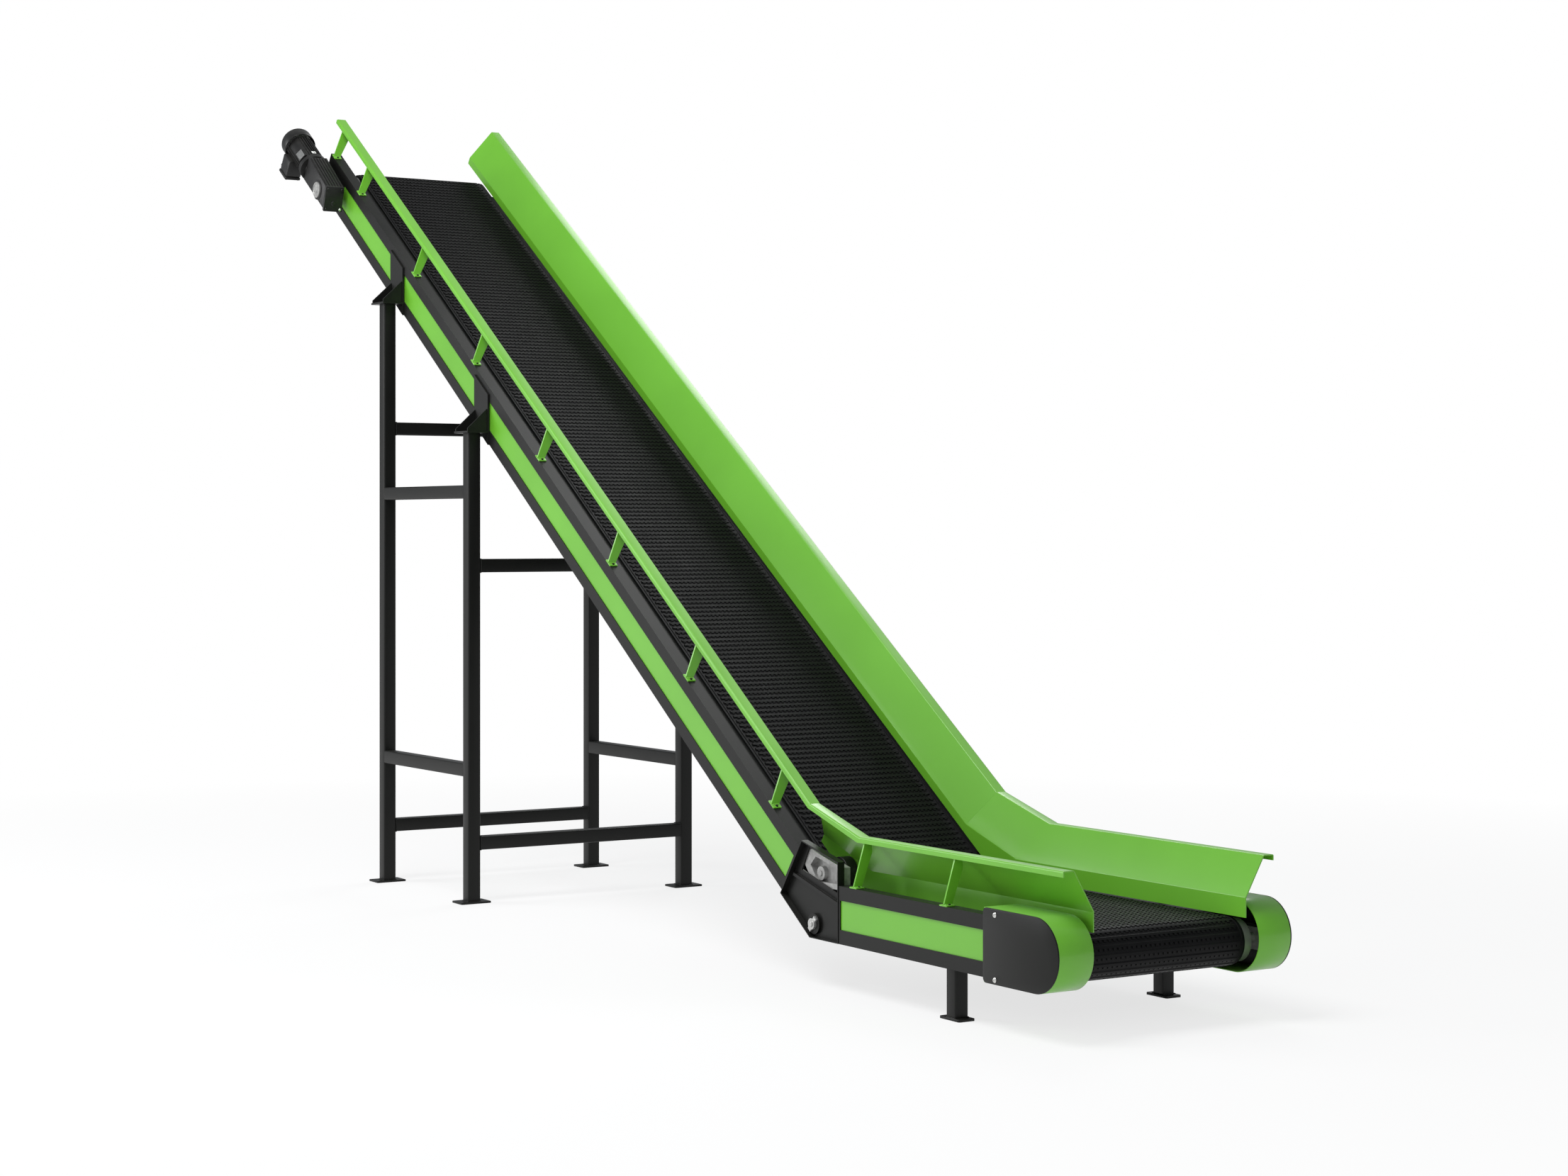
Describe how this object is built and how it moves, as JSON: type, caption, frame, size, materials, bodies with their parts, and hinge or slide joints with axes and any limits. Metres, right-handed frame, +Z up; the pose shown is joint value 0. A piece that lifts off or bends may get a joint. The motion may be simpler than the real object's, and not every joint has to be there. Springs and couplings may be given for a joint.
{
  "type": "belt conveyor section",
  "caption": "Inclined belt conveyor section with a level infeed, sheet-metal side guards, a leg trestle and a head drum driven by a side-mounted gearmotor.",
  "frame": {"origin": "middle of the underside of the bounding box, on the floor", "axes": "+X the way the load travels, from the tail drum to the head drum; +Y the side with the gearmotor; +Z up"},
  "size_m": [7.263, 1.483, 4.336],
  "materials": {
    "bare_steel": "bright turned steel",
    "belt_rubber": "matt black, embossed grip pattern",
    "black_paint": "satin black powder coat",
    "black_plastic": "black polyamide",
    "cast_grey": "as-cast, grey",
    "green_paint": "gloss enamel, lime green",
    "motor_enamel": "semi-gloss black enamel on castings"
  },
  "bodies": {
    "frame": {"cable_gland": "black_plastic", "conveyor_belt": "belt_rubber", "cross_bar_downstream_high": "black_paint", "cross_bar_downstream_low": "black_paint", "cross_bar_upstream_high": "black_paint", "cross_bar_upstream_low": "black_paint", "gearbox_cover": "cast_grey", "gearbox_housing": "motor_enamel", "guard_incline_right": "green_paint", "guard_infeed_left": "green_paint", "guard_infeed_right": "green_paint", "guard_rail_incline_left": "green_paint", "head_bearing_left": "cast_grey", "head_bearing_right": "cast_grey", "infeed_leg_left": "black_paint", "infeed_leg_right": "black_paint", "infill_panel_incline_left": "green_paint", "infill_panel_incline_right": "green_paint", "infill_panel_infeed_left": "green_paint", "infill_panel_infeed_right": "green_paint", "knee_bearing_left": "bare_steel", "knee_bearing_right": "bare_steel", "knee_hold_down_carrier_left": "cast_grey", "knee_hold_down_carrier_right": "cast_grey", "knee_plate_left": "black_paint", "knee_plate_right": "black_paint", "leg_bracket_downstream_left": "black_paint", "leg_bracket_downstream_right": "black_paint", "leg_bracket_upstream_left": "black_paint", "leg_bracket_upstream_right": "black_paint", "motor_fan_cowl": "motor_enamel", "motor_housing": "motor_enamel", "side_frame_incline_left": "black_paint", "side_frame_incline_right": "black_paint", "side_frame_infeed_left": "black_paint", "side_frame_infeed_right": "black_paint", "slider_bed_incline": "black_paint", "slider_bed_infeed": "black_paint", "tail_cowl_left": "green_paint", "tail_cowl_plate_left": "black_paint", "tail_cowl_plate_right": "black_paint", "tail_cowl_right": "green_paint", "terminal_box": "motor_enamel", "torque_arm": "black_paint", "trestle_side_left": "black_paint", "trestle_side_right": "black_paint"},
    "take_up": {"take_up_block_left": "cast_grey", "take_up_block_right": "cast_grey"},
    "tail_drum": {"tail_drum": "bare_steel"},
    "head_drum": {"head_drum": "belt_rubber", "gearbox_output_wheel": "bare_steel"},
    "bend_roller": {"knee_bend_roller": "bare_steel"},
    "return_roller_lower": {"return_roller_lower": "bare_steel"},
    "return_roller_upper": {"return_roller_upper": "bare_steel"},
    "snub_roller": {"snub_roller": "bare_steel"},
    "hold_down_wheel_left": {"knee_hold_down_wheel_left": "bare_steel"},
    "hold_down_wheel_right": {"knee_hold_down_wheel_right": "bare_steel"},
    "motor_rotor": {"motor_rotor": "bare_steel"}
  },
  "joints": [
    {"name": "head_drum_spin", "type": "hinge", "parent": "frame", "child": "head_drum", "pos_m": [3.28981, -0.0185, 3.92228], "axis": [0, 1, 0], "continuous": true},
    {"name": "take_up_slide", "type": "slide", "parent": "frame", "child": "take_up", "axis": [1, 0, 0], "range_m": [0, 0.04]},
    {"name": "tail_drum_spin", "type": "hinge", "parent": "take_up", "child": "tail_drum", "pos_m": [-3.46698, -0.0185, 0.312], "axis": [0, 1, 0], "continuous": true},
    {"name": "bend_roller_spin", "type": "hinge", "parent": "frame", "child": "bend_roller", "pos_m": [-1.90498, -0.0185, 0.263], "axis": [0, 1, 0], "continuous": true},
    {"name": "return_roller_lower_spin", "type": "hinge", "parent": "frame", "child": "return_roller_lower", "pos_m": [-0.23877, -0.0185, 1.41248], "axis": [0, 1, 0], "continuous": true},
    {"name": "return_roller_upper_spin", "type": "hinge", "parent": "frame", "child": "return_roller_upper", "pos_m": [1.56337, -0.0185, 2.67435], "axis": [0, 1, 0], "continuous": true},
    {"name": "snub_roller_spin", "type": "hinge", "parent": "frame", "child": "snub_roller", "pos_m": [3.1051, -0.0185, 3.75022], "axis": [0, 1, 0], "continuous": true},
    {"name": "hold_down_left_spin", "type": "hinge", "parent": "frame", "child": "hold_down_wheel_left", "pos_m": [-1.92029, -0.0185, 0.478], "axis": [0, 1, 0], "continuous": true},
    {"name": "hold_down_right_spin", "type": "hinge", "parent": "frame", "child": "hold_down_wheel_right", "pos_m": [-1.92029, -0.0185, 0.478], "axis": [0, 1, 0], "continuous": true},
    {"name": "motor_spin", "type": "hinge", "parent": "frame", "child": "motor_rotor", "pos_m": [-1.94475, 0.639, 0.36199], "axis": [0.8192, 0, 0.5736], "continuous": true}
  ],
  "couplings": [
    {"joint": "tail_drum_spin", "follows": "head_drum_spin", "ratio": 1.0106},
    {"joint": "bend_roller_spin", "follows": "head_drum_spin", "ratio": 1.8269},
    {"joint": "return_roller_lower_spin", "follows": "head_drum_spin", "ratio": -3.2759},
    {"joint": "return_roller_upper_spin", "follows": "head_drum_spin", "ratio": -3.2759},
    {"joint": "snub_roller_spin", "follows": "head_drum_spin", "ratio": -2.5676},
    {"joint": "hold_down_left_spin", "follows": "head_drum_spin", "ratio": -1.3194},
    {"joint": "hold_down_right_spin", "follows": "head_drum_spin", "ratio": -1.3194},
    {"joint": "motor_spin", "follows": "head_drum_spin", "ratio": 28}
  ]
}
